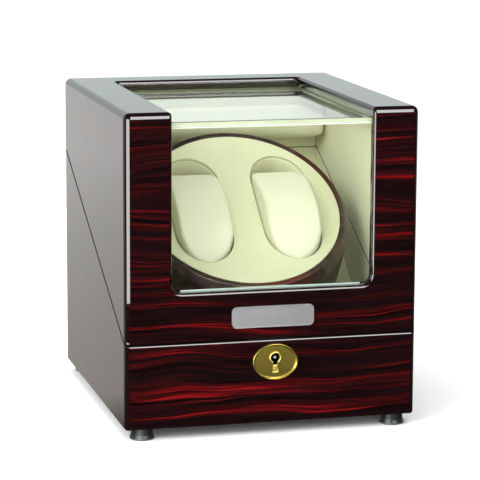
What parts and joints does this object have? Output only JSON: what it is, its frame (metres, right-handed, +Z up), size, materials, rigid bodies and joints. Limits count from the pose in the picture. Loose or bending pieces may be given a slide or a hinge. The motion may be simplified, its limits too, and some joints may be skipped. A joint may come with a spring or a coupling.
{
  "type": "watch winder box",
  "caption": "Lacquered watch winder box: slanted-seam glazed lid hinged at the back, inclined geared rotor with padded watch cushions, box lock, rubber feet and rear controls.",
  "frame": {"origin": "middle of the footprint, level with the soles of the feet: halfway across the case, and halfway between the front of the escutcheon and the back of the hinge barrels", "axes": "+Z up; -Y towards the front, with the window and the lock; +X to the right as seen from the front"},
  "size_m": [0.182, 0.202, 0.198],
  "materials": {
    "lacquered_wood": "high-gloss lacquer over dark striped veneer",
    "burl_veneer": "glossy dark burl veneer",
    "leatherette": "soft matt cream leatherette",
    "plain_board": "unfinished fibreboard",
    "clear_glass": "clear float glass with polished edges",
    "polished_brass": "polished",
    "silver_plate": "fine horizontal brushing",
    "steel": "plain machined and pressed",
    "rubber": "satin dark rubber",
    "black_plastic": "fine moulded texture",
    "white_plastic": "natural moulded nylon",
    "circuit_board": "green solder mask"
  },
  "bodies": {
    "base": {"base_left_panel": "lacquered_wood", "base_right_panel": "lacquered_wood", "base_front_panel": "lacquered_wood", "base_back_panel": "lacquered_wood", "base_bottom_panel": "lacquered_wood", "base_left_lining": "leatherette", "base_right_lining": "leatherette", "base_back_lining": "leatherette", "deck_lining": "leatherette", "deck_board": "plain_board", "deck_batten_left": "plain_board", "deck_batten_right": "plain_board", "escutcheon": "polished_brass", "hinge_left_base_leaf": "polished_brass", "hinge_right_base_leaf": "polished_brass", "lock_case": "steel", "hinge_left_pin": "steel", "hinge_right_pin": "steel", "motor_body": "steel", "motor_bracket": "steel", "foot_front_left": "rubber", "foot_front_right": "rubber", "foot_back_left": "rubber", "foot_back_right": "rubber", "control_plate": "black_plastic", "power_inlet": "black_plastic", "deck_bearing": "white_plastic", "circuit_board": "circuit_board"},
    "lid": {"lid_left_panel": "lacquered_wood", "lid_right_panel": "lacquered_wood", "lid_left_stile": "lacquered_wood", "lid_right_stile": "lacquered_wood", "lid_left_top_rail": "lacquered_wood", "lid_right_top_rail": "lacquered_wood", "lid_front_rail": "lacquered_wood", "lid_back_top_rail": "lacquered_wood", "lid_back_panel": "lacquered_wood", "lid_back_pad": "leatherette", "lid_left_lining": "leatherette", "lid_right_lining": "leatherette", "top_glass": "clear_glass", "front_glass": "clear_glass", "name_plate": "silver_plate", "lid_lock_link": "polished_brass", "hinge_left_lid_leaf": "polished_brass", "hinge_right_lid_leaf": "polished_brass"},
    "rotor": {"rotor_drum": "burl_veneer", "rotor_drum_floor": "plain_board", "rotor_face": "leatherette", "watch_cup_left": "leatherette", "watch_cup_right": "leatherette", "rotor_shaft": "steel", "driven_gear": "white_plastic", "retaining_ring": "steel"},
    "pinion": {"motor_pinion": "white_plastic"},
    "cushion_left": {"cushion_left": "leatherette"},
    "cushion_right": {"cushion_right": "leatherette"},
    "lock_bolt": {"lock_bolt": "polished_brass"},
    "mode_knob": {"mode_knob": "black_plastic"},
    "power_switch": {"power_switch": "black_plastic"}
  },
  "joints": [
    {"name": "lid_hinge", "type": "hinge", "parent": "base", "child": "lid", "pos_m": [0, 0.09845, 0.1527], "axis": [-1, 0, 0], "range_deg": [0, 100]},
    {"name": "rotor_spin", "type": "hinge", "parent": "base", "child": "rotor", "pos_m": [0, -0.02495, 0.127], "axis": [0, -0.6129, 0.7902], "continuous": true},
    {"name": "pinion_spin", "type": "hinge", "parent": "base", "child": "pinion", "pos_m": [0.04385, -0.02495, 0.127], "axis": [0, -0.6129, 0.7902], "continuous": true},
    {"name": "cushion_left_slide", "type": "slide", "parent": "rotor", "child": "cushion_left", "axis": [0, -0.6129, 0.7902], "range_m": [0, 0.025]},
    {"name": "cushion_right_slide", "type": "slide", "parent": "rotor", "child": "cushion_right", "axis": [0, -0.6129, 0.7902], "range_m": [0, 0.025]},
    {"name": "lock_bolt_slide", "type": "slide", "parent": "base", "child": "lock_bolt", "axis": [1, 0, 0], "range_m": [0, 0.0054]},
    {"name": "mode_knob_turn", "type": "hinge", "parent": "base", "child": "mode_knob", "pos_m": [0, 0.09255, 0.035], "axis": [0, 1, 0], "range_deg": [0, 270]},
    {"name": "power_switch_rock", "type": "hinge", "parent": "base", "child": "power_switch", "pos_m": [0.022, 0.08905, 0.035], "axis": [-1, 0, 0], "range_deg": [0, 20]}
  ],
  "couplings": [
    {"joint": "pinion_spin", "follows": "rotor_spin", "ratio": -4}
  ]
}
